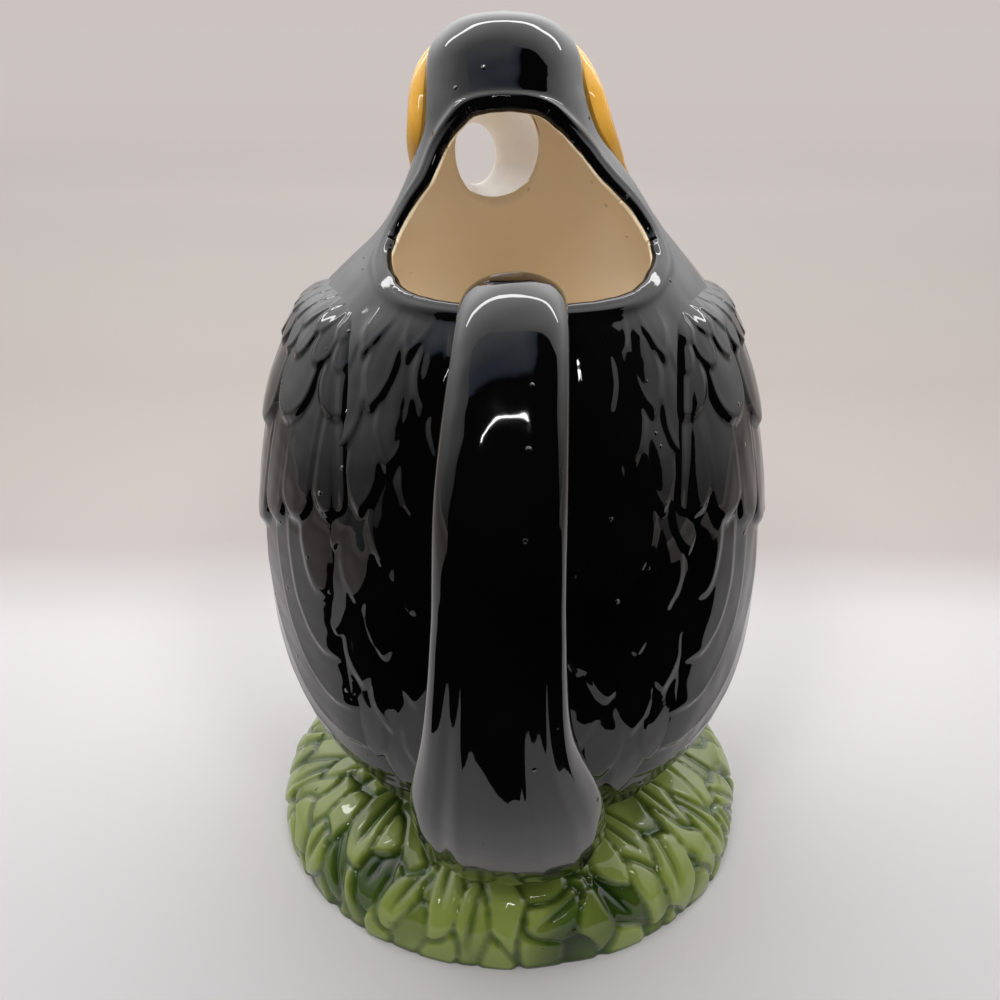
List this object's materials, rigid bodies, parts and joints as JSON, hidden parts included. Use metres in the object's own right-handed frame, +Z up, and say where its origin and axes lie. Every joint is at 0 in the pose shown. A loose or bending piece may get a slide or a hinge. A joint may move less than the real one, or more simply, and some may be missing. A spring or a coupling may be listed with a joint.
{
  "type": "figural ceramic pitcher",
  "caption": "Slip-cast glazed pitcher shaped as a perched toucan: hollow body, open-backed hooded mouth, bill spout, tail strap handle and leaf mound base.",
  "frame": {"origin": "on the floor, under the middle of the whole outline", "axes": "+Z up, +Y the way the bird looks and pours, +X the bird's right"},
  "size_m": [0.1688, 0.2508, 0.2683],
  "materials": {
    "black_glaze": "high gloss black glaze, cream glaze inside",
    "green_glaze": "translucent green gloss glaze, darker where it pools",
    "yellow_glaze": "orange-yellow gloss glaze",
    "bill_glaze": "orange gloss glaze with a dark tip, white inside",
    "eye_glaze": "black gloss glaze",
    "foot_glaze": "slate grey gloss glaze"
  },
  "bodies": {
    "root": {"leaf_base": "green_glaze", "body_shell": "black_glaze", "head_hood": "black_glaze", "face_bib": "yellow_glaze", "bill_spout": "bill_glaze", "tail_handle": "black_glaze", "left_wing": "black_glaze", "right_wing": "black_glaze", "left_eye": "eye_glaze", "right_eye": "eye_glaze", "left_foot": "foot_glaze", "right_foot": "foot_glaze"}
  },
  "joints": []
}
